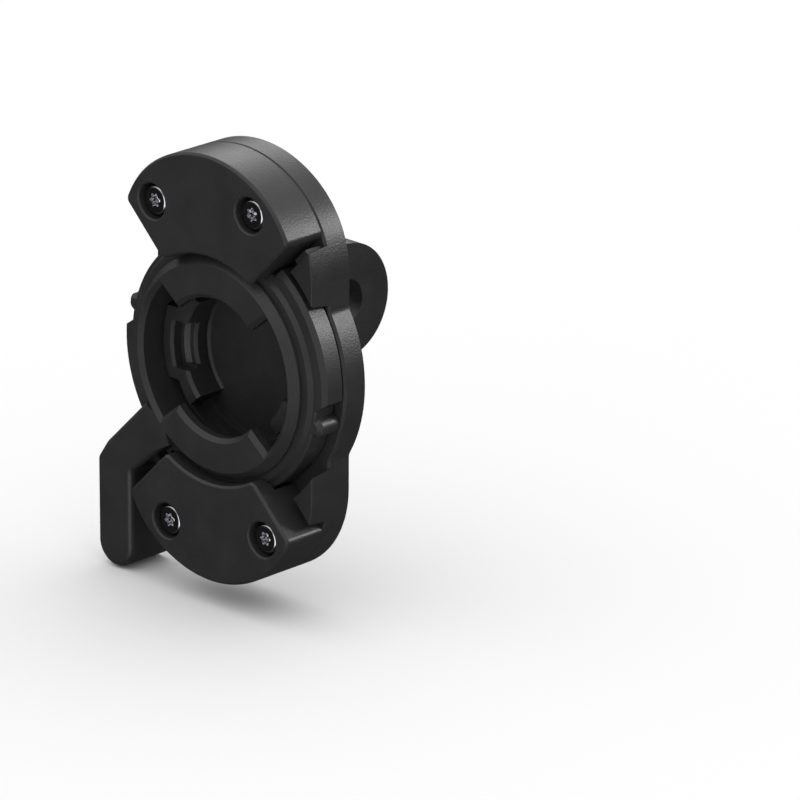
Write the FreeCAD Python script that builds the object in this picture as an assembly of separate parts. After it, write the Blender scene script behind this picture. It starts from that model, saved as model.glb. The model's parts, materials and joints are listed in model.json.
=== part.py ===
import FreeCAD, Part
import math
import os

# Bike saddle rail mount: a base with one rear finger that bolts to a saddle rail clamp,
# and a bayonet socket whose lock ring is turned by a thumb lever.
# Millimetres. X runs right as seen from the front, Y runs back, Z runs up.
# The origin is the centre of the lock ring in the flat front face of its collar.

# Lock ring
bore_radius = 12.5
collar_wall = 1.65
collar_chamfer = 1.0
opening_chamfer = 0.55
tab_inner_radius = 8.85
slot_inner_half_angle = 45.5
slot_outer_half_angle = 43.4
tab_thickness = 1.5
step_face_depth = 1.4
step_width = 0.95
step_chamfer = 0.5
flange_width = 1.0
ring_thickness = 5.12
edge_break = 0.2

# Thick sectors and nubs that stand out from the ring's flange
sector_width = 1.4
sector_chamfer = 0.55
sector_top_angle = 56.0
sector_bottom_angle = -2.2
sector_ramp_angle = 5.6
sector_back_gap = 0.28
nub_angle = -15.3
nub_radius = 1.25
nub_width = 1.2

# Lever, one piece with the ring
lever_arm_gap = 0.4
lever_tab_depth = 7.3
lever_left = -20.6
lever_inner = -14.45
lever_bottom = -30.5
lever_edge_round = 0.8
lever_start_angle = 211.5
lever_end_angle = 237.5
lever_root_sink = 0.1
lever_top_corner = [1.6, -14.25]
lever_side_corner = -16.6
lever_elbow_height = -17.2
lever_neck = [-8.54, -12.34]
lever_tab_drop = 1.7
lever_top_round = 1.5
lever_side_round = 1.2
lever_elbow_round = 0.8

# Fits between the turning ring and the fixed pieces
turning_clearance = 0.07
sliding_gap = 0.08
clear_gap = 0.3

# Clamps
clamp_lead = 0.85
clamp_collar_gap = 0.4
clamp_left_corner_height = 19.67
clamp_right_corner_height = 20.3
clamp_top = 27.4
clamp_main_radius = 16.65
clamp_tip_angle = 56.0
clamp_corner_round = 0.9
clamp_inner_round = 0.9
clamp_edge_chamfer = 0.3

# Screws, M2 x 6 with socket heads, and their threaded inserts
screw_insets = [5.56, 7.69]
screw_heights = [19.48, 21.47]
screw_radius = 1.0
screw_length = 6.0
screw_head_radius = 1.9
screw_head_height = 2.0
screw_socket_flats = 1.5
screw_socket_depth = 1.0
screw_head_sink = 0.6
counterbore_radius = 2.25
screw_hole_radius = 1.1
insert_radius = 1.6
insert_length = 2.7
hole_spare = 0.3

# Base
base_half_width = 15.0
bulge_reach = 2.7
bulge_blend = 1.5
base_back_depth = 9.05
base_back_chamfer = 0.45
rim_chamfer = 0.3

# Two lugs on the right of the base's front face, beside the clamps, and a locating rib at the upper one.
# The left side stays free for the lever, which sweeps over it.
lug_front_depth = 2.25
lug_arc_clearance = 0.75
lug_draft = 0.4
lug_arc_draft = 0.25
lug_edge_break = 0.12
upper_lug_setback = 1.97
lower_lug_setback = 2.17
lug_top_height = 17.55
rib_front_depth = 2.55
rib_reach = 1.0
rib_length = 1.7
rib_inset = 1.0

# Socket inside the ring
seat_inner_radius = 11.85
ledge_depth = 6.9
floor_radius = 10.6
floor_depth = 7.9
wall_front_depth = 3.65
wall_inner_radius = 8.6
wall_outer_radius = 10.65
wall_chamfer = 0.4
wall_half_angle = 45.0
wall_foot_chamfer = 0.3
pad_half_height = 4.67
recess_half_height = 3.05
stair_half_height = 2.7
recess_rise = 0.15
recess_margin = 0.35
recess_slope = 0.33
recess_half_angle = 30.0
stair_margin = 0.47
stair_slope = 0.58
stair_front_depth = 5.25
stair_back_depth = 5.7
tread_setback = 0.37

# Rear finger
finger_width = 15.0
finger_thickness = 3.0
finger_bore_radius = 2.9
finger_bore_depth = 21.75
finger_bore_height = 3.73
finger_root_round = 1.0

# Radii and depths that follow from the values above
collar_radius = bore_radius + collar_wall
step_radius = collar_radius + step_width
flange_face_depth = step_face_depth + step_chamfer
flange_radius = step_radius + flange_width
sector_radius = flange_radius + sector_width
nub_reach = flange_radius + nub_width
clamp_arc_radius = collar_radius + clamp_collar_gap
lip_step_depth = step_face_depth - sliding_gap
lip_flange_depth = flange_face_depth - sliding_gap
base_front_depth = ring_thickness + sliding_gap
sector_back_depth = base_front_depth - sector_back_gap
lever_arm_thickness = base_front_depth - lever_arm_gap
pocket_radius = flange_radius + clear_gap
lug_arc_radius = sector_radius + lug_arc_clearance
head_top_depth = screw_head_sink - clamp_lead
head_seat_depth = head_top_depth + screw_head_height
screw_tip_depth = head_seat_depth + screw_length
pad_radius = bore_radius - turning_clearance
bulge_radius = base_half_width + bulge_reach
clamp_left_offset = clamp_left_corner_height - base_half_width
clamp_right_offset = clamp_right_corner_height - base_half_width
upper_lug_offset = clamp_right_offset - upper_lug_setback
lower_lug_offset = clamp_left_offset - lower_lug_setback
screw_spots = [
    (screw_insets[0] - base_half_width, screw_heights[0]),
    (base_half_width - screw_insets[1], screw_heights[1]),
]

FRONT_AXIS = FreeCAD.Vector(0, 1, 0)
ORIGIN = FreeCAD.Vector(0, 0, 0)


def point(x, z, depth=0.0):
    return FreeCAD.Vector(x, depth, z)


def polar(radius, degrees):
    angle = math.radians(degrees)
    return radius * math.cos(angle), radius * math.sin(angle)


def line(a, b, depth):
    return Part.LineSegment(point(a[0], a[1], depth), point(b[0], b[1], depth)).toShape()


def arc(a, middle, b, depth):
    return Part.Arc(point(a[0], a[1], depth), point(middle[0], middle[1], depth),
                    point(b[0], b[1], depth)).toShape()


def prism(edges, front, back):
    """A solid from a closed front-view outline drawn at the depth 'front'."""
    face = Part.Face(Part.Wire(Part.__sortEdges__(edges)))
    return face.extrude(FreeCAD.Vector(0, back - front, 0))


def polygon_prism(corners, front, back):
    wire = Part.makePolygon([point(x, z, front) for x, z in corners + corners[:1]])
    return Part.Face(wire).extrude(FreeCAD.Vector(0, back - front, 0))


def turned(profile, start=0.0, sweep=360.0):
    """A solid of revolution about the Y axis from (radius, depth) corners.

    The sweep starts at the angle 'start', counted from +X towards +Z."""
    corners = [FreeCAD.Vector(r, depth, 0) for r, depth in profile + profile[:1]]
    face = Part.Face(Part.makePolygon(corners))
    face.rotate(ORIGIN, FRONT_AXIS, -start)
    return face.revolve(ORIGIN, FRONT_AXIS, -sweep)


def cylinder(radius, x, z, front, back):
    return Part.makeCylinder(radius, back - front, point(x, z, front), FRONT_AXIS)


def half_turn(shape):
    copy = shape.copy()
    copy.rotate(ORIGIN, FRONT_AXIS, 180)
    return copy


def edges_at(shape, test):
    """Edges whose two ends and middle all pass the test (x, depth, z)."""
    found = []
    for edge in shape.Edges:
        first, last = edge.FirstParameter, edge.LastParameter
        spots = [edge.valueAt(first), edge.valueAt((first + last) / 2), edge.valueAt(last)]
        if all(test(p.x, p.y, p.z) for p in spots):
            found.append(edge)
    return found


def along_depth(edge):
    first = edge.valueAt(edge.FirstParameter)
    last = edge.valueAt(edge.LastParameter)
    return abs(first.x - last.x) < 1e-4 and abs(first.z - last.z) < 1e-4 and abs(first.y - last.y) > 0.5


def upright_edges(shape, x, z, reach):
    """Edges that run along the depth and stand near the front-view spot (x, z)."""
    found = []
    for edge in shape.Edges:
        spot = edge.valueAt(edge.FirstParameter)
        if along_depth(edge) and math.hypot(spot.x - x, spot.z - z) < reach:
            found.append(edge)
    return found


def near(value, target):
    return abs(value - target) < 1e-3


# Lock ring: collar, stepped flange, two thick flange sectors, two nubs and the lever
ring = turned([
    (0.0, 0.0),
    (collar_radius - collar_chamfer, 0.0),
    (collar_radius, collar_chamfer),
    (collar_radius, step_face_depth),
    (step_radius, step_face_depth),
    (step_radius + step_chamfer, flange_face_depth),
    (flange_radius - edge_break, flange_face_depth),
    (flange_radius, flange_face_depth + edge_break),
    (flange_radius, ring_thickness - edge_break),
    (flange_radius - edge_break, ring_thickness),
    (0.0, ring_thickness),
])

# A thick sector with a sloped lower end
sector_root = flange_radius - 0.6
sector = turned([
    (sector_root, flange_face_depth),
    (sector_radius - sector_chamfer, flange_face_depth),
    (sector_radius, flange_face_depth + sector_chamfer),
    (sector_radius, sector_back_depth),
    (sector_root, sector_back_depth),
], sector_bottom_angle - sector_ramp_angle, sector_top_angle - sector_bottom_angle + sector_ramp_angle)
ramp_top = polar(sector_radius + 0.3, sector_bottom_angle)
ramp_foot = polar(flange_radius - 0.3, sector_bottom_angle - sector_ramp_angle)
ramp_far = polar(sector_radius + 3.0, sector_bottom_angle - sector_ramp_angle)
sector = sector.cut(polygon_prism([ramp_top, ramp_foot, ramp_far], 0.0, ring_thickness + 1.0))

nub_x, nub_z = polar(nub_reach - nub_radius, nub_angle)
nub = cylinder(nub_radius, nub_x, nub_z, flange_face_depth, ring_thickness)
nub = nub.makeChamfer(sector_chamfer, edges_at(nub, lambda x, y, z: near(y, flange_face_depth)))
outstands = sector.fuse(nub)

# The lever leaves the collar at seven thirty and ends in a deep thumb tab
arm_outer = polar(collar_radius - lever_root_sink, lever_start_angle)
arm_inner = polar(collar_radius - lever_root_sink, lever_end_angle)
arm_core = polar(bore_radius, (lever_start_angle + lever_end_angle) / 2)
tab_top = (lever_left + lever_top_corner[0], lever_top_corner[1])
tab_corner = (lever_left, lever_side_corner)
end_radius = (lever_inner - lever_left) / 2
end_centre = (lever_left + end_radius, lever_bottom + end_radius)
inner_elbow = (lever_inner, lever_elbow_height)
inner_neck = (lever_neck[0], lever_neck[1])
tab_shoulder = lever_elbow_height - lever_tab_drop


def lever_outline(depth):
    return [
        line(arm_core, arm_outer, depth),
        line(arm_outer, tab_top, depth),
        line(tab_top, tab_corner, depth),
        line(tab_corner, (lever_left, end_centre[1]), depth),
        arc((lever_left, end_centre[1]), (end_centre[0], lever_bottom),
            (lever_inner, end_centre[1]), depth),
        line((lever_inner, end_centre[1]), inner_elbow, depth),
        line(inner_elbow, inner_neck, depth),
        line(inner_neck, arm_inner, depth),
        line(arm_inner, arm_core, depth),
    ]


def tab_outline(depth):
    return [
        line((lever_left, end_centre[1]), (lever_left, tab_shoulder), depth),
        line((lever_left, tab_shoulder), (lever_inner, tab_shoulder), depth),
        line((lever_inner, tab_shoulder), (lever_inner, end_centre[1]), depth),
        arc((lever_inner, end_centre[1]), (end_centre[0], lever_bottom),
            (lever_left, end_centre[1]), depth),
    ]


lever = prism(lever_outline(0.0), 0.0, lever_arm_thickness)
for spot, size in ((tab_top, lever_top_round), (tab_corner, lever_side_round),
                   (inner_elbow, lever_elbow_round)):
    lever = lever.makeFillet(size, upright_edges(lever, spot[0], spot[1], 0.05))
tab = prism(tab_outline(lever_arm_thickness), lever_arm_thickness, lever_tab_depth)
tab = tab.makeFillet(lever_edge_round, upright_edges(tab, lever_left, tab_shoulder, 0.05))
lever = lever.fuse(tab).removeSplitter()
free_front = edges_at(lever, lambda x, y, z: near(y, 0.0) and math.hypot(x, z) > collar_radius + 0.05)
lever = lever.makeFillet(lever_edge_round, free_front)

ring = ring.fuse([outstands, half_turn(outstands), lever])


def socket_outline(depth, grow=0.0):
    """Front view of the opening: two wide slots left and right, two tabs top and bottom.

    All sides stand outside the plain opening by the distance 'grow'."""
    wide, narrow = bore_radius + grow, tab_inner_radius + grow
    wide_angle = slot_outer_half_angle + math.degrees(math.asin(grow / wide))
    narrow_angle = slot_inner_half_angle + math.degrees(math.asin(grow / narrow))
    edges = []
    for turn in (0.0, 180.0):
        low, high = polar(wide, turn - wide_angle), polar(wide, turn + wide_angle)
        tab_start = polar(narrow, turn + narrow_angle)
        tab_end = polar(narrow, turn + 180.0 - narrow_angle)
        edges.append(arc(low, polar(wide, turn), high, depth))
        edges.append(line(high, tab_start, depth))
        edges.append(arc(tab_start, polar(narrow, turn + 90.0), tab_end, depth))
        edges.append(line(tab_end, polar(wide, turn + 180.0 - wide_angle), depth))
    return edges


ring = ring.cut(prism(socket_outline(-1.0), -1.0, tab_thickness + 1.0))
ring = ring.cut(cylinder(bore_radius, 0, 0, tab_thickness, ring_thickness + 1.0))
lead_in = Part.makeLoft([
    Part.Wire(Part.__sortEdges__(socket_outline(-0.3, opening_chamfer + 0.3))),
    Part.Wire(Part.__sortEdges__(socket_outline(opening_chamfer))),
], True, True)
ring = ring.cut(lead_in).removeSplitter()

# Clamps: two equal plates that hold the flange down and leave the collar free
tip_run = math.cos(math.radians(clamp_tip_angle))
clamp_tip_radius = (base_half_width - clamp_main_radius * tip_run) / (1 - tip_run)
main_centre = (0.0, clamp_top - clamp_main_radius)
tip_shift = polar(clamp_main_radius - clamp_tip_radius, clamp_tip_angle)
tip_centre = (main_centre[0] + tip_shift[0], main_centre[1] + tip_shift[1])


def on_tip(degrees, radius=clamp_tip_radius):
    x, z = polar(radius, degrees)
    return tip_centre[0] + x, tip_centre[1] + z


def mirrored(spot):
    return -spot[0], spot[1]


def side_meets_circle(offset, radius):
    """Where the 45 degree side z = x + offset meets a circle about the ring axis."""
    x = (-offset + math.sqrt(2 * radius * radius - offset * offset)) / 2
    return x, x + offset


def side_meets_tip(offset):
    across = tip_centre[0] - (tip_centre[1] - offset)
    x = (tip_centre[0] + tip_centre[1] - offset + math.sqrt(2 * clamp_tip_radius ** 2 - across ** 2)) / 2
    return x, x + offset


tip_join = on_tip(clamp_tip_angle)
right_foot = side_meets_circle(clamp_right_offset, clamp_arc_radius)
left_foot = mirrored(side_meets_circle(clamp_left_offset, clamp_arc_radius))
right_tip = side_meets_tip(clamp_right_offset)
left_tip = mirrored(side_meets_tip(clamp_left_offset))


def tip_middle(tip):
    start = math.degrees(math.atan2(tip[1] - tip_centre[1], abs(tip[0]) - tip_centre[0]))
    return on_tip((start + clamp_tip_angle) / 2)


def clamp_outline(depth):
    return [
        arc(left_foot, (0.0, clamp_arc_radius), right_foot, depth),
        line(right_foot, right_tip, depth),
        arc(right_tip, tip_middle(right_tip), tip_join, depth),
        arc(tip_join, (0.0, clamp_top), mirrored(tip_join), depth),
        arc(mirrored(tip_join), mirrored(tip_middle(left_tip)), left_tip, depth),
        line(left_tip, left_foot, depth),
    ]


def rounded_clamp_block(front, back):
    block = prism(clamp_outline(front), front, back)
    for spot, size in ((left_foot, clamp_inner_round), (right_foot, clamp_inner_round),
                       (left_tip, clamp_corner_round), (right_tip, clamp_corner_round)):
        block = block.makeFillet(size, upright_edges(block, spot[0], spot[1], 0.05))
    return block


clamp = rounded_clamp_block(-clamp_lead, base_front_depth)
clamp = clamp.makeChamfer(clamp_edge_chamfer, edges_at(clamp, lambda x, y, z: near(y, -clamp_lead)))
flange_pocket = turned([
    (clamp_arc_radius - 1.0, lip_step_depth),
    (step_radius + sliding_gap / 2, lip_step_depth),
    (step_radius + sliding_gap / 2 + step_chamfer, lip_flange_depth),
    (pocket_radius, lip_flange_depth),
    (pocket_radius, base_front_depth + 1.0),
    (clamp_arc_radius - 1.0, base_front_depth + 1.0),
])
clamp = clamp.cut(flange_pocket)
for x, z in screw_spots:
    clamp = clamp.cut(cylinder(screw_hole_radius, x, z, -clamp_lead - 1.0, base_front_depth + 1.0))
    clamp = clamp.cut(cylinder(counterbore_radius, x, z, -clamp_lead - 1.0, head_seat_depth))
    rim_cut = Part.makeCone(counterbore_radius + edge_break, counterbore_radius, edge_break,
                            point(x, z, -clamp_lead), FRONT_AXIS)
    clamp = clamp.cut(rim_cut)
lower_clamp = half_turn(clamp)

# Screw with a chamfered socket head and a plain shank at thread size, at the spot (0, 0)
socket_corner = screw_socket_flats / math.sqrt(3)
screw = cylinder(screw_head_radius, 0, 0, head_top_depth, head_seat_depth)
screw = screw.makeChamfer(0.2, edges_at(screw, lambda x, y, z: near(y, head_top_depth)))
shank = cylinder(screw_radius, 0, 0, head_seat_depth - 0.1, screw_tip_depth)
screw = screw.fuse(shank).removeSplitter()
hexagon = [polar(socket_corner, 60 * i + 12) for i in range(6)]
screw = screw.cut(polygon_prism(hexagon, head_top_depth - 1.0, head_top_depth + screw_socket_depth))

# Threaded insert flush with the face under the clamp
insert = turned([
    (screw_radius, base_front_depth),
    (insert_radius, base_front_depth),
    (insert_radius, base_front_depth + insert_length),
    (screw_radius, base_front_depth + insert_length),
])

# Base plate whose outline follows the clamps and bulges round the ring
blend_centre = (base_half_width + bulge_blend, math.sqrt(
    (bulge_radius + bulge_blend) ** 2 - (base_half_width + bulge_blend) ** 2))
blend_angle = math.degrees(math.atan2(blend_centre[1], blend_centre[0]))


def base_outline(depth, inset=0.0):
    """Front view of the rim: clamp arcs above and below, straight sides, blends and bulges."""
    side = base_half_width - inset
    tip, blend = clamp_tip_radius - inset, bulge_blend + inset
    side_top = (side, tip_centre[1])
    join, middle = on_tip(clamp_tip_angle, tip), on_tip(clamp_tip_angle / 2, tip)
    blend_top = (side, blend_centre[1])
    blend_foot = polar(bulge_radius - inset, blend_angle)
    across = polar(blend, (180 + 180 + blend_angle) / 2)
    blend_middle = (blend_centre[0] + across[0], blend_centre[1] + across[1])
    edges = []
    for end in (1, -1):
        edges.append(arc((join[0], end * join[1]), (0.0, end * (clamp_top - inset)),
                         (-join[0], end * join[1]), depth))
        for turn in (1, -1):
            def place(spot):
                return turn * spot[0], end * spot[1]
            edges.append(arc(place(join), place(middle), place(side_top), depth))
            edges.append(line(place(side_top), place(blend_top), depth))
            edges.append(arc(place(blend_top), place(blend_middle), place(blend_foot), depth))
    for turn in (1, -1):
        edges.append(arc((turn * blend_foot[0], blend_foot[1]), (turn * (bulge_radius - inset), 0.0),
                         (turn * blend_foot[0], -blend_foot[1]), depth))
    return edges


def outline_body(sections):
    """A ruled body through base outlines given as (depth, inset)."""
    wires = [Part.Wire(Part.__sortEdges__(base_outline(depth, inset))) for depth, inset in sections]
    return Part.makeLoft(wires, True, True)


base = outline_body([
    (base_front_depth, rim_chamfer),
    (base_front_depth + rim_chamfer, 0.0),
    (base_back_depth - base_back_chamfer, 0.0),
    (base_back_depth, base_back_chamfer),
])

# Lugs beside the clamps, with draft on their free sides
lug_foot_depth = base_front_depth + 1.0
lug_height = lug_foot_depth - lug_front_depth
lug_limits = outline_body([
    (lug_front_depth, lug_edge_break + 0.05),
    (lug_front_depth + lug_edge_break, 0.05),
    (base_front_depth + rim_chamfer, 0.0),
    (lug_foot_depth, 0.0),
])
lug_core = Part.makeCone(lug_arc_radius + lug_arc_draft, lug_arc_radius, lug_height,
                         point(0, 0, lug_front_depth), FRONT_AXIS)


def lug_wedge(offset):
    """Wedge between the side line z = x + offset and the top, wider at its foot."""
    far = base_half_width + 5.0
    wires = []
    for depth, grow in ((lug_front_depth, 0.0), (lug_foot_depth, lug_draft)):
        top = lug_top_height + grow
        side = offset + grow
        corners = [(5.0, 5.0 + side), (top - side, top), (far, top), (far, 5.0), (5.0, 5.0)]
        wires.append(Part.makePolygon([point(x, z, depth) for x, z in corners + corners[:1]]))
    return Part.makeLoft(wires, True, True).common(lug_limits).cut(lug_core)


upper_lug = lug_wedge(upper_lug_offset)
lower_lug = lug_wedge(lower_lug_offset).mirror(ORIGIN, FreeCAD.Vector(0, 0, 1))

# A locating rib stands square between the upper lug and the clamp
rib_high = base_half_width - rib_inset
rib_low = rib_high - rib_length
rib_skew = rib_reach / 2
locator = polygon_prism([
    (rib_low + 0.3, rib_low + upper_lug_offset - 0.3),
    (rib_high + 0.3, rib_high + upper_lug_offset - 0.3),
    (rib_high - rib_skew, rib_high + upper_lug_offset + rib_skew),
    (rib_low - rib_skew, rib_low + upper_lug_offset + rib_skew),
], rib_front_depth, lug_foot_depth)

# Two upright arc walls left and right; a pad on each carries the bore of the ring
wall = turned([
    (wall_inner_radius, wall_front_depth + wall_chamfer),
    (wall_inner_radius + wall_chamfer, wall_front_depth),
    (wall_outer_radius, wall_front_depth),
    (wall_outer_radius, floor_depth + 0.5),
    (wall_inner_radius - wall_foot_chamfer, floor_depth + 0.5),
    (wall_inner_radius - wall_foot_chamfer, floor_depth),
    (wall_inner_radius, floor_depth - wall_foot_chamfer),
], -wall_half_angle, 2 * wall_half_angle)
pad = turned([
    (wall_outer_radius - 1.0, wall_front_depth),
    (pad_radius - edge_break, wall_front_depth),
    (pad_radius, wall_front_depth + edge_break),
    (pad_radius, base_front_depth + 0.5),
    (wall_outer_radius - 1.0, base_front_depth + 0.5),
], -wall_half_angle, 2 * wall_half_angle)
pad = pad.common(Part.makeBox(20, 20, 2 * pad_half_height, FreeCAD.Vector(0, 0, -pad_half_height)))

# The stepped recess in the middle of each arc wall
recess_top = wall_outer_radius + recess_margin
recess_riser = recess_top - recess_slope
stair_top = recess_riser - stair_margin
stair_foot = stair_top - stair_slope
tread_end = wall_inner_radius + tread_setback


def mid_height(shape, half_height):
    slab = Part.makeBox(20, 20, 2 * half_height, FreeCAD.Vector(0, 0, recess_rise - half_height))
    return shape.common(slab)


recess = mid_height(turned([
    (wall_inner_radius - 1.0, wall_front_depth - 0.5),
    (recess_top + 0.5, wall_front_depth - 0.5),
    (recess_riser, wall_front_depth + recess_slope),
    (recess_riser, stair_front_depth),
    (wall_inner_radius - 1.0, stair_front_depth),
], -recess_half_angle, 2 * recess_half_angle), recess_half_height)
stairs = mid_height(turned([
    (wall_inner_radius - 1.0, stair_front_depth - 0.1),
    (stair_top, stair_front_depth - 0.1),
    (stair_top, stair_front_depth),
    (stair_foot, stair_back_depth),
    (tread_end, stair_back_depth),
    (wall_inner_radius, stair_back_depth + tread_setback),
    (wall_inner_radius - 1.0, stair_back_depth + tread_setback),
], -recess_half_angle, 2 * recess_half_angle), stair_half_height)

base = base.fuse([upper_lug, lower_lug, locator])
base = base.cut(cylinder(seat_inner_radius, 0, 0, base_front_depth - 1.0, ledge_depth))
base = base.cut(cylinder(floor_radius, 0, 0, ledge_depth - 1.0, floor_depth))
walls = wall.fuse(pad).cut(recess).cut(stairs)
base = base.fuse([walls, half_turn(walls)])

# Rear finger with a round end and its cross bore
finger_half = finger_width / 2
finger = Part.makeBox(finger_thickness, finger_bore_depth - base_back_depth + 1.0, finger_width,
                      FreeCAD.Vector(-finger_thickness / 2, base_back_depth - 1.0,
                                     finger_bore_height - finger_half))
bore_centre = FreeCAD.Vector(-finger_thickness / 2, finger_bore_depth, finger_bore_height)
cross = FreeCAD.Vector(1, 0, 0)
finger = finger.fuse(Part.makeCylinder(finger_half, finger_thickness, bore_centre, cross))
finger = finger.removeSplitter()
base = base.fuse(finger).removeSplitter()
root_edges = edges_at(base, lambda x, y, z: near(y, base_back_depth) and
                      abs(x) < finger_thickness / 2 + 0.01 and
                      abs(z - finger_bore_height) < finger_half + 0.01)
base = base.makeFillet(finger_root_round, root_edges)
base = base.cut(Part.makeCylinder(finger_bore_radius, finger_thickness + 2.0,
                                  bore_centre - cross, cross))

all_spots = []
names = ["upper_left", "upper_right", "lower_right", "lower_left"]
for x, z in screw_spots + [(-x, -z) for x, z in screw_spots]:
    all_spots.append((x, z))
    base = base.cut(cylinder(insert_radius, x, z, base_front_depth - 1.0, base_front_depth + insert_length))
    base = base.cut(cylinder(screw_hole_radius, x, z, base_front_depth - 1.0, screw_tip_depth + hole_spare))
base = base.removeSplitter()

# Write every piece to its own file
pieces = {
    "base_plate": base,
    "lock_ring": ring,
    "upper_clamp": clamp,
    "lower_clamp": lower_clamp,
}
for name, (x, z) in zip(names, all_spots):
    for kind, shape in (("screw", screw), ("insert", insert)):
        placed = shape.copy()
        placed.translate(FreeCAD.Vector(x, 0, z))
        pieces[name + "_" + kind] = placed

os.makedirs("parts", exist_ok=True)
for name, shape in pieces.items():
    if shape.ShapeType == "Compound" and len(shape.Solids) == 1:
        shape = shape.Solids[0]
    print(name, shape.ShapeType, len(shape.Solids), shape.isValid(), round(shape.Volume, 1))
    shape.exportStep("parts/" + name + ".step")
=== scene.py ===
import json
import math
import bmesh
import bpy
from mathutils import Matrix, Vector


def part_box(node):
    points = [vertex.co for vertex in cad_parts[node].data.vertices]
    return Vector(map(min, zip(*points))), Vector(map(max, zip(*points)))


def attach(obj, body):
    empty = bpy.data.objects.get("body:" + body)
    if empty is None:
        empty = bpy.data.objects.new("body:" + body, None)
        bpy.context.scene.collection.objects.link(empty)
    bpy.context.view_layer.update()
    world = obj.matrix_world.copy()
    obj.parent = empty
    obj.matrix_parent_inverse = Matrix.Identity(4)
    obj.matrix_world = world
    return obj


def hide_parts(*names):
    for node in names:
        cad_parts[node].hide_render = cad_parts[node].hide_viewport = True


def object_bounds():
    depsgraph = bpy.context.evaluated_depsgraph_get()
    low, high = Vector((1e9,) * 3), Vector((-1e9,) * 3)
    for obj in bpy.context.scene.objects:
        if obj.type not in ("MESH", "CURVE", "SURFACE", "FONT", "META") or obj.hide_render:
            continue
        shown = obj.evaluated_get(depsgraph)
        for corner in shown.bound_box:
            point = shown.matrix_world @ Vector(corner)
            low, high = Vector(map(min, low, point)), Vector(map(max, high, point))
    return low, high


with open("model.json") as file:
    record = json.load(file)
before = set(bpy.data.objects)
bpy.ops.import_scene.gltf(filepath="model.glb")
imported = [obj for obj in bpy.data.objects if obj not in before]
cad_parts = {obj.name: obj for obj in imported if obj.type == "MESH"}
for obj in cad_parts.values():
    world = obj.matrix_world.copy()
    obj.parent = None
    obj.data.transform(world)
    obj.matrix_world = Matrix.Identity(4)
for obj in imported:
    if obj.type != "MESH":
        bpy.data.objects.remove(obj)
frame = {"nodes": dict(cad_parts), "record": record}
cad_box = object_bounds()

# Base plate: it bolts to the rail clamp by its rear finger and carries all the rest.
# Black glass-filled nylon, moulded in one with its lugs, arc walls and finger in a
# spark-eroded mould, which leaves a fine sandy grain and slightly rounded edges.
MM = 0.001
GRAIN_WIDTH, GRAIN_HEIGHT, CLOUD_WIDTH = 0.25, 0.034, 5.0
MOULDED_EDGE = 0.09
SHARP_ANGLE = math.radians(28)
FLAT_ANGLE = math.radians(0.5)

nodes = frame["nodes"]
body_of = {}
for body, members in frame["record"]["behaviour"]["bodies"].items():
    for member in members:
        body_of[member] = body


def linear(hex_colour):
    channels = [int(hex_colour[i:i + 2], 16) / 255 for i in (1, 3, 5)]
    return [c / 12.92 if c <= 0.04045 else ((c + 0.055) / 1.055) ** 2.4 for c in channels] + [1.0]


def add_node(tree, kind, inputs=None, links=None, **settings):
    """A shader node with its settings, its input values and its links from (node, output) pairs."""
    node = tree.nodes.new(kind)
    for name, value in settings.items():
        setattr(node, name, value)
    for name, value in (inputs or {}).items():
        node.inputs[name].default_value = value
    for name, (source, output) in (links or {}).items():
        tree.links.new(source.outputs[output], node.inputs[name])
    return node


def new_material(name):
    material = bpy.data.materials.new(name)
    material.use_nodes = True
    material.node_tree.nodes.clear()
    return material, material.node_tree


# Nylon from a spark-eroded mould: near-black and satin. A sandy grain breaks up its
# highlights, and cloudy patches some 5 mm wide vary its tone and gloss. The real grain is
# about 0.1 mm wide, too fine for the picture, so it is drawn coarser.
black_nylon, tree = new_material("Black glass-filled nylon, moulded in a spark-eroded tool")
place = add_node(tree, "ShaderNodeTexCoord")
grain = add_node(tree, "ShaderNodeTexNoise",
                 {"Scale": 1 / (GRAIN_WIDTH * MM), "Detail": 2.0, "Roughness": 0.6},
                 {"Vector": (place, "Object")})
cloud = add_node(tree, "ShaderNodeTexNoise", {"Scale": 1 / (CLOUD_WIDTH * MM), "Detail": 3.0},
                 {"Vector": (place, "Object")})
patch = add_node(tree, "ShaderNodeMapRange", {"From Min": 0.35, "From Max": 0.65},
                 {"Value": (cloud, "Fac")})
tone = add_node(tree, "ShaderNodeMix", {6: linear("#29292a"), 7: linear("#2d2d2e")},
                {0: (patch, "Result")}, data_type="RGBA")
gloss = add_node(tree, "ShaderNodeMapRange", {"To Min": 0.37, "To Max": 0.43},
                 {"Value": (patch, "Result")})
bump = add_node(tree, "ShaderNodeBump", {"Strength": 1.0, "Distance": GRAIN_HEIGHT * MM},
                {"Height": (grain, "Fac")})
nylon = add_node(tree, "ShaderNodeBsdfPrincipled", {"IOR": 1.45, "Specular IOR Level": 0.45},
                 {"Base Color": (tone, 2), "Roughness": (gloss, "Result"),
                  "Normal": (bump, "Normal")})
add_node(tree, "ShaderNodeOutputMaterial", links={"Surface": (nylon, "BSDF")})


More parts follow.
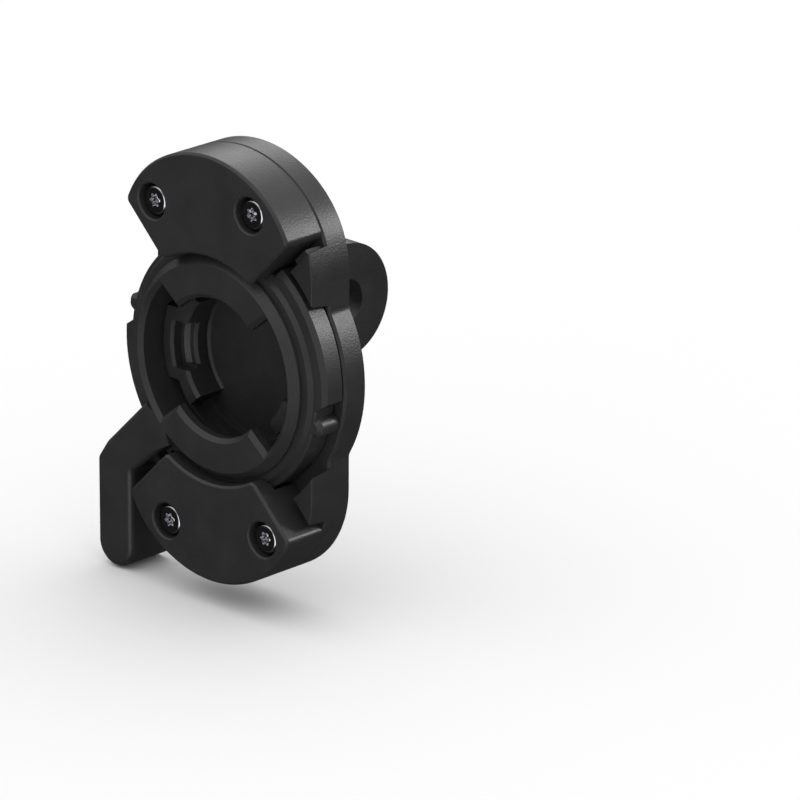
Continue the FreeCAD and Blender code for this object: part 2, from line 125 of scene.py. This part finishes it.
def moulding(node_name, edge_radius):
    """A copy of a solid piece in black nylon, with softly rounded edges and smooth round faces."""
    mesh = nodes[node_name].data.copy()
    mesh.name = node_name + "_moulding"
    shape = bmesh.new()
    shape.from_mesh(mesh)
    bmesh.ops.remove_doubles(shape, verts=shape.verts, dist=0.0005 * MM)
    bmesh.ops.dissolve_limit(shape, angle_limit=FLAT_ANGLE, verts=shape.verts, edges=shape.edges)
    for face in shape.faces:
        face.smooth = True
    for edge in shape.edges:
        if len(edge.link_faces) == 2:
            edge.smooth = edge.calc_face_angle(0.0) < SHARP_ANGLE
    shape.to_mesh(mesh)
    shape.free()
    mesh.materials.clear()
    mesh.materials.append(black_nylon)
    piece = bpy.data.objects.new(node_name + "_moulding", mesh)
    bpy.context.scene.collection.objects.link(piece)
    rounding = piece.modifiers.new("Edge rounding", "BEVEL")
    rounding.width = edge_radius * MM
    rounding.segments = 3
    rounding.limit_method = "ANGLE"
    rounding.angle_limit = SHARP_ANGLE
    flat = piece.modifiers.new("Flat faces", "WEIGHTED_NORMAL")
    flat.weight = 100
    flat.keep_sharp = True
    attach(piece, body_of[node_name])
    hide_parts(node_name)


moulding("base_plate", MOULDED_EDGE)

# Threaded inserts: turned brass, pressed warm into the base under each clamp screw.
# They are hidden once the clamps are on. Brass as it comes from the lathe is warm yellow,
# with an even satin shine.
brass, tree = new_material("Brass, turned")
metal = add_node(tree, "ShaderNodeBsdfPrincipled",
                 {"Base Color": linear("#c8a060"), "Metallic": 1.0, "Roughness": 0.35})
add_node(tree, "ShaderNodeOutputMaterial", links={"Surface": (metal, "BSDF")})
for name, node in nodes.items():
    if name.endswith("_insert"):
        node.data.materials.clear()
        node.data.materials.append(brass)

# Lock ring: black glass-filled nylon, moulded in one with its bayonet tabs, flange and
# thumb lever. It turns in the seat of the base and is held down by the two clamps.
moulding("lock_ring", MOULDED_EDGE)

# Clamps: two equal black nylon plates, moulded with a slightly larger round on every edge.
# Two screws each hold them down on the base over the ring's flange.
CLAMP_EDGE = 0.12
for name in ("upper_clamp", "lower_clamp"):
    moulding(name, CLAMP_EDGE)

# Screws: M2 by 6 mm steel screws with rounded cylinder heads and six-lobed recesses, cold
# formed, thread rolled, then blackened. Each recess stands at the angle where it was tightened.
HEAD_TOP, HEAD_SEAT, TIP = -0.25, 1.75, 7.75
HEAD_RADIUS, HEAD_ROUND, SEAT_EDGE, TIP_EDGE = 1.9, 0.45, 0.06, 0.15
THREAD_RADIUS, THREAD_ROOT, PITCH = 1.0, 0.77, 0.4
RIDGE_SINK, RIDGE_FOOT, RIDGE_CREST, PLAIN_END = 0.02, 0.17, 0.025, 0.4
RECESS_RADIUS, LOBE_WAVE, LOBES = 0.78, 0.13, 6
MOUTH_RADIUS, RECESS_DEPTH, RECESS_CONE = 1.1, 1.15, 0.3
RECESS_TAPER, CONE_TAPER = 0.97, 0.05
AROUND, THREAD_STEPS, ROUND_STEPS = 72, 24, 8
CREASE_ANGLE = math.radians(32)
TINY = 0.01
SCREW_TURNS = {"upper_left_screw": 8, "upper_right_screw": 24,
               "lower_right_screw": 2, "lower_left_screw": 15}

# Cold-formed steel with a black oxide layer, dark on the flat face of the head. A lighter colour on
# its rounded edge, in the flutes of the recess and on every other face off the flat is a painted
# highlight.
steel_with_painted_highlight, tree = new_material("Steel, cold formed and blackened, worn bare on its edges")
# Mask of the painted highlight, set face by face on each screw below
highlight_mask = add_node(tree, "ShaderNodeAttribute", attribute_name="painted_highlight")
shade = add_node(tree, "ShaderNodeMix", {6: linear("#6c6c70"), 7: linear("#c4c4c8")},
                 {0: (highlight_mask, "Fac")}, data_type="RGBA")
steel = add_node(tree, "ShaderNodeBsdfPrincipled", {"Metallic": 1.0, "Roughness": 0.18},
                 {"Base Color": (shade, 2)})
add_node(tree, "ShaderNodeOutputMaterial", links={"Surface": (steel, "BSDF")})


def moved_on(shape, edges, shrink, deeper):
    """Draws an open ring of edges on into a wall, and gives the edges of its far ring."""
    drawn = bmesh.ops.extrude_edge_only(shape, edges=edges)["geom"]
    corners = [part for part in drawn if isinstance(part, bmesh.types.BMVert)]
    bmesh.ops.scale(shape, vec=(shrink, 1, shrink), verts=corners)
    bmesh.ops.translate(shape, vec=(0, deeper, 0), verts=corners)
    return [part for part in drawn if isinstance(part, bmesh.types.BMEdge) and part.is_boundary]


def on_head_rim(corner):
    return (math.hypot(corner.co.x, corner.co.z) > HEAD_RADIUS - TINY
            and corner.co.y < HEAD_TOP + TINY)


def screw_piece(name, turn, centre_x, centre_z):
    """A screw along Y, worked in millimetres about its own axis, then put in its place."""
    shape = bmesh.new()

    # Head and core, from the mouth of the recess over the head down to the tip
    outline = [(MOUTH_RADIUS, HEAD_TOP), (HEAD_RADIUS, HEAD_TOP),
               (HEAD_RADIUS, HEAD_SEAT - SEAT_EDGE), (HEAD_RADIUS - SEAT_EDGE, HEAD_SEAT),
               (THREAD_ROOT, HEAD_SEAT), (THREAD_ROOT, TIP - TIP_EDGE),
               (THREAD_ROOT - TIP_EDGE, TIP), (0, TIP)]
    points = [shape.verts.new((radius, depth, 0)) for radius, depth in outline]
    lines = [shape.edges.new(pair) for pair in zip(points, points[1:])]
    bmesh.ops.spin(shape, geom=points + lines, cent=(0, 0, 0), axis=(0, 1, 0), dvec=(0, 0, 0),
                   angle=2 * math.pi, steps=AROUND, use_merge=True)
    bmesh.ops.remove_doubles(shape, verts=shape.verts, dist=0.001)
    rim = [edge for edge in shape.edges if all(on_head_rim(corner) for corner in edge.verts)]
    bmesh.ops.bevel(shape, geom=rim, offset=HEAD_ROUND, offset_type="OFFSET", affect="EDGES",
                    segments=ROUND_STEPS, profile=0.5, material=-1)

    # Recess, drawn in from its lobed mouth to a shallow cone
    mouth = [edge for edge in shape.edges if edge.is_boundary]
    for corner in {corner for edge in mouth for corner in edge.verts}:
        angle = math.atan2(corner.co.z, corner.co.x)
        reach = RECESS_RADIUS + LOBE_WAVE * math.cos(LOBES * (angle - turn))
        corner.co.x, corner.co.z = reach * math.cos(angle), reach * math.sin(angle)
    foot = moved_on(shape, mouth, RECESS_TAPER, RECESS_DEPTH)
    point = moved_on(shape, foot, CONE_TAPER, RECESS_CONE)
    bmesh.ops.holes_fill(shape, edges=point, sides=0)

    # Thread, a ridge wound round the core
    first = HEAD_SEAT + PLAIN_END
    turns = int((TIP - PLAIN_END - first) / PITCH)
    ridge = [shape.verts.new((radius, first + depth, 0)) for radius, depth in
             ((THREAD_ROOT - RIDGE_SINK, -RIDGE_FOOT), (THREAD_RADIUS, -RIDGE_CREST),
              (THREAD_RADIUS, RIDGE_CREST), (THREAD_ROOT - RIDGE_SINK, RIDGE_FOOT))]
    section = shape.faces.new(ridge)
    bmesh.ops.spin(shape, geom=ridge + list(section.edges) + [section], cent=(0, 0, 0),
                   axis=(0, 1, 0), dvec=(0, PITCH / THREAD_STEPS, 0),
                   angle=2 * math.pi * turns, steps=THREAD_STEPS * turns)

    # Painted highlight: a lighter colour wherever the surface leaves the flat
    bmesh.ops.recalc_face_normals(shape, faces=shape.faces)
    painted_highlight = shape.faces.layers.float.new("painted_highlight")
    for face in shape.faces:
        face.smooth = True
        face[painted_highlight] = 1.0 if abs(face.normal.y) < 0.95 else 0.0
    for edge in shape.edges:
        if len(edge.link_faces) == 2:
            edge.smooth = edge.calc_face_angle(0.0) < CREASE_ANGLE
    to_place = Matrix.Translation((centre_x, 0, centre_z)) @ Matrix.Scale(MM, 4)
    bmesh.ops.transform(shape, matrix=to_place, verts=shape.verts)
    mesh = bpy.data.meshes.new(name)
    shape.to_mesh(mesh)
    shape.free()
    mesh.materials.append(steel_with_painted_highlight)
    piece = bpy.data.objects.new(name, mesh)
    bpy.context.scene.collection.objects.link(piece)
    return piece


for name, degrees in SCREW_TURNS.items():
    low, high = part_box(name)
    screw = screw_piece(name + "_six_lobe", math.radians(degrees),
                        (low.x + high.x) / 2, (low.z + high.z) / 2)
    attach(screw, body_of[name])
    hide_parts(name)

# Floor: a matt white studio sweep, just under the lever's end. It stays out of the part's
# gloss, since the black nylon in the picture doesn't show it.
FLOOR_SIZE, FLOOR_GAP = 6.0, 0.0002
bpy.ops.mesh.primitive_plane_add(size=FLOOR_SIZE, location=(0, 0, cad_box[0][2] - FLOOR_GAP))
floor = bpy.context.active_object
floor.name = "floor"
white_paint, tree = new_material("Painted sweep, matt white")
paint = add_node(tree, "ShaderNodeBsdfDiffuse", {"Color": linear("#f8f8f8")})
add_node(tree, "ShaderNodeOutputMaterial", links={"Surface": (paint, "BSDF")})
floor.data.materials.append(white_paint)
floor.visible_glossy = False


# Light: a pale dome, dim at the horizon and brightest overhead, lights the part and lays
# its soft shadow. Two soft boxes behind only add gloss, the bright bands on the sides, and
# a white card in the dome, low in front, shows in edges and the rims of the screw heads.
def soft_box(name, spot, size, power):
    light = bpy.data.lights.new(name, "AREA")
    light.shape = "RECTANGLE"
    light.size, light.size_y = size
    light.energy = power
    lamp = bpy.data.objects.new(name, light)
    lamp.location = spot
    lamp.rotation_euler = (-Vector(spot)).to_track_quat("-Z", "Y").to_euler()
    lamp.visible_diffuse = False
    lamp.visible_camera = False
    bpy.context.scene.collection.objects.link(lamp)


soft_box("right_box", (0.39, 0.39, 0.23), (0.12, 0.16), 1.9)
soft_box("back_box", (-0.30, 0.42, 0.30), (0.25, 0.25), 0.6)

CARD_DIRECTION = (0.25, -0.93, -0.25)
world = bpy.data.worlds.new("Studio dome")
bpy.context.scene.world = world
world.use_nodes = True
tree = world.node_tree
tree.nodes.clear()
ray = add_node(tree, "ShaderNodeLightPath")
aim = add_node(tree, "ShaderNodeTexCoord")
height = add_node(tree, "ShaderNodeSeparateXYZ", links={"Vector": (aim, "Generated")})
dome = add_node(tree, "ShaderNodeMapRange",
                {"From Min": 0.0, "From Max": 0.7, "To Min": 0.05, "To Max": 1.26},
                {"Value": (height, "Z")})
toward_card = add_node(tree, "ShaderNodeVectorMath", {1: CARD_DIRECTION},
                       {0: (aim, "Generated")}, operation="DOT_PRODUCT")
card = add_node(tree, "ShaderNodeMapRange",
                {"From Min": 0.86, "From Max": 0.93, "To Min": 0.0, "To Max": 1.8},
                {"Value": (toward_card, "Value")})
lit = add_node(tree, "ShaderNodeMath", links={0: (dome, "Result"), 1: (card, "Result")},
               operation="ADD")
strength = add_node(tree, "ShaderNodeMix", {3: 1.0},
                    {0: (ray, "Is Camera Ray"), 2: (lit, "Value")}, data_type="FLOAT")
sky = add_node(tree, "ShaderNodeBackground", {"Color": (1, 1, 1, 1)},
               {"Strength": (strength, 0)})
add_node(tree, "ShaderNodeOutputWorld", links={"Surface": (sky, "Background")})

# Camera: at the photograph's angle, 44 degrees round from the front and 19.75 degrees up.
# The focal length is given in picture widths.
azimuth, elevation, roll = math.radians(44.0), math.radians(19.75), math.radians(0.28)
distance, across_shift, up_shift = 0.7903, -0.0290, 0.00475
SENSOR_WIDTH, FOCAL_IN_WIDTHS = 36, 6500 / 800
forward = Vector((-math.sin(azimuth) * math.cos(elevation),
                  math.cos(azimuth) * math.cos(elevation), -math.sin(elevation)))
right = Vector((math.cos(azimuth), math.sin(azimuth), 0))
up = right.cross(forward)
turned_right = right * math.cos(roll) + up * math.sin(roll)
turned_up = up * math.cos(roll) - right * math.sin(roll)
eye = -distance * (forward + turned_right * across_shift + turned_up * up_shift)
facing = Matrix((turned_right, turned_up, -forward)).transposed().to_4x4()
camera_data = bpy.data.cameras.new("camera")
camera_data.sensor_width = SENSOR_WIDTH
camera_data.lens = SENSOR_WIDTH * FOCAL_IN_WIDTHS
camera_data.clip_start = 0.01
camera = bpy.data.objects.new("camera", camera_data)
camera.matrix_world = Matrix.Translation(eye) @ facing
bpy.context.scene.collection.objects.link(camera)
bpy.context.scene.camera = camera
bpy.context.scene.view_settings.view_transform = "Standard"
